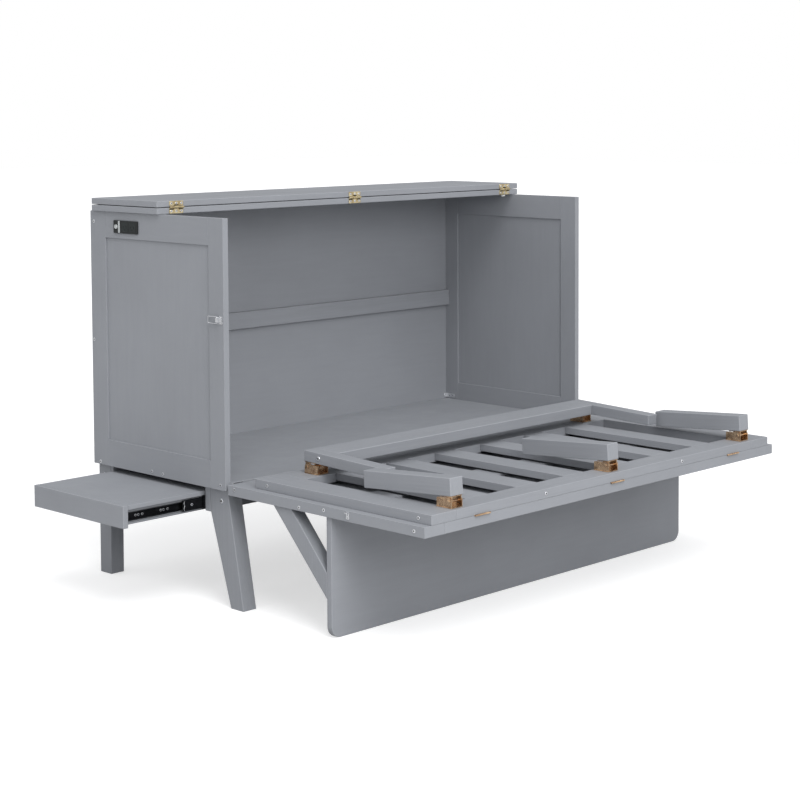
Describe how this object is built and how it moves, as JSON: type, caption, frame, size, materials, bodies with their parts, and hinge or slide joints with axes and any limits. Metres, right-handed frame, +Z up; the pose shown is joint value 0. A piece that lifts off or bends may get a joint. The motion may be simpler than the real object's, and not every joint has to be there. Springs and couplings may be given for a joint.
{
  "type": "murphy wall bed",
  "caption": "Cabinet bed: the front folds down on its leg panel, a slatted foot section and its legs unfold from it, the lid folds back and a side shelf pulls out.",
  "frame": {"origin": "the floor point under the middle of the bounding box, in the pose with the front folded down and the shelf pulled out", "axes": "+Z up, +X along the cabinet's width towards the side without the shelf, +Y from the folded-down front towards the back panel"},
  "size_m": [1.734, 1.3246, 1.0815],
  "materials": {
    "painted_board": "satin grey paint on board",
    "painted_wood": "satin grey paint on solid wood",
    "brass": "yellow-passivated plate, satin",
    "chrome": "polished",
    "zinc_steel": "zinc plated",
    "black_steel": "black zinc",
    "black_plastic": "satin black",
    "grey_plastic": "satin grey"
  },
  "bodies": {
    "cabinet": {"left_side_panel": "painted_board", "right_side_panel": "painted_board", "back_panel": "painted_board", "back_mid_rail": "painted_wood", "cabinet_floor": "painted_board", "top_board": "painted_board", "front_apron": "painted_wood", "rear_apron": "painted_wood", "front_leg_left": "painted_wood", "front_leg_right": "painted_wood", "rear_leg_left": "painted_wood", "rear_leg_right": "painted_wood", "corner_bracket": "zinc_steel", "outlet_housing": "black_plastic", "latch_base_left": "chrome", "latch_base_right": "chrome", "pivot_bracket_left": "zinc_steel", "pivot_bracket_right": "zinc_steel", "slide_front_outer": "black_steel", "slide_rear_outer": "black_steel", "lid_hinge_left_top_leaf": "brass", "lid_hinge_middle_top_leaf": "brass", "lid_hinge_right_top_leaf": "brass"},
    "lid": {"lid_board": "painted_board", "lid_hinge_left_lid_leaf": "brass", "lid_hinge_middle_lid_leaf": "brass", "lid_hinge_right_lid_leaf": "brass"},
    "front_panel": {"front_panel": "painted_board", "leg_panel": "painted_board", "leg_brace_left": "painted_wood", "leg_brace_right": "painted_wood", "latch_strike_left": "chrome", "latch_strike_right": "chrome", "pivot_pin_left": "zinc_steel", "pivot_pin_right": "zinc_steel", "section_hinge_left_panel_leaf": "brass", "section_hinge_middle_panel_leaf": "brass", "section_hinge_right_panel_leaf": "brass"},
    "foot_section": {"foot_section": "painted_wood", "section_hinge_left_section_leaf": "brass", "section_hinge_middle_section_leaf": "brass", "section_hinge_right_section_leaf": "brass", "mid_leg_bracket_left": "brass", "mid_leg_bracket_middle": "brass", "mid_leg_bracket_right": "brass", "end_frame_bracket_left": "brass", "end_frame_bracket_right": "brass"},
    "mid_leg_left": {"mid_leg_left": "painted_wood"},
    "mid_leg_middle": {"mid_leg_middle": "painted_wood"},
    "mid_leg_right": {"mid_leg_right": "painted_wood"},
    "end_frame": {"end_frame": "painted_wood"},
    "slide_middle": {"slide_front_middle": "black_steel", "slide_rear_middle": "black_steel"},
    "shelf": {"shelf_front": "painted_board", "shelf_body": "painted_board", "slide_front_inner": "black_steel", "slide_rear_inner": "black_steel"},
    "outlet_button": {"outlet_button": "grey_plastic"},
    "latch_bow_left": {"latch_bow_left": "chrome"},
    "latch_bow_right": {"latch_bow_right": "chrome"}
  },
  "joints": [
    {"name": "front_fold", "type": "hinge", "parent": "cabinet", "child": "front_panel", "pos_m": [0.122, 0.0573, 0.3245], "axis": [-1, 0, 0], "range_deg": [0, 90]},
    {"name": "lid_fold", "type": "hinge", "parent": "cabinet", "child": "lid", "pos_m": [0.122, 0.3418, 1.06325], "axis": [1, 0, 0], "range_deg": [0, 180]},
    {"name": "section_unfold", "type": "hinge", "parent": "front_panel", "child": "foot_section", "pos_m": [0.122, -0.6599, 0.33815], "axis": [-1, 0, 0], "range_deg": [-180, 0]},
    {"name": "mid_leg_left_fold", "type": "hinge", "parent": "foot_section", "child": "mid_leg_left", "pos_m": [-0.488, -0.6347, 0.38], "axis": [-1, 0, 0], "range_deg": [-94, 0]},
    {"name": "mid_leg_middle_fold", "type": "hinge", "parent": "foot_section", "child": "mid_leg_middle", "pos_m": [0.122, -0.6347, 0.38], "axis": [-1, 0, 0], "range_deg": [-94, 0]},
    {"name": "mid_leg_right_fold", "type": "hinge", "parent": "foot_section", "child": "mid_leg_right", "pos_m": [0.732, -0.6347, 0.38], "axis": [-1, 0, 0], "range_deg": [-94, 0]},
    {"name": "end_frame_fold", "type": "hinge", "parent": "foot_section", "child": "end_frame", "pos_m": [0.122, -0.0647, 0.38], "axis": [1, 0, 0], "range_deg": [-92.2, 0]},
    {"name": "shelf_slide", "type": "slide", "parent": "cabinet", "child": "shelf", "axis": [1, 0, 0], "range_m": [0, 0.246]},
    {"name": "slide_middle_travel", "type": "slide", "parent": "cabinet", "child": "slide_middle", "axis": [1, 0, 0], "range_m": [0, 0.123]},
    {"name": "outlet_button_press", "type": "slide", "parent": "cabinet", "child": "outlet_button", "axis": [1, 0, 0], "range_m": [0, 0.0015], "stiffness_N_per_m": 300},
    {"name": "latch_bow_left_swing", "type": "hinge", "parent": "cabinet", "child": "latch_bow_left", "pos_m": [-0.6207, 0.0993, 0.775], "axis": [0, 0, 1], "range_deg": [0, 180]},
    {"name": "latch_bow_right_swing", "type": "hinge", "parent": "cabinet", "child": "latch_bow_right", "pos_m": [0.8647, 0.0993, 0.775], "axis": [0, 0, -1], "range_deg": [0, 180]}
  ],
  "couplings": [
    {"joint": "slide_middle_travel", "follows": "shelf_slide", "ratio": 0.5}
  ]
}
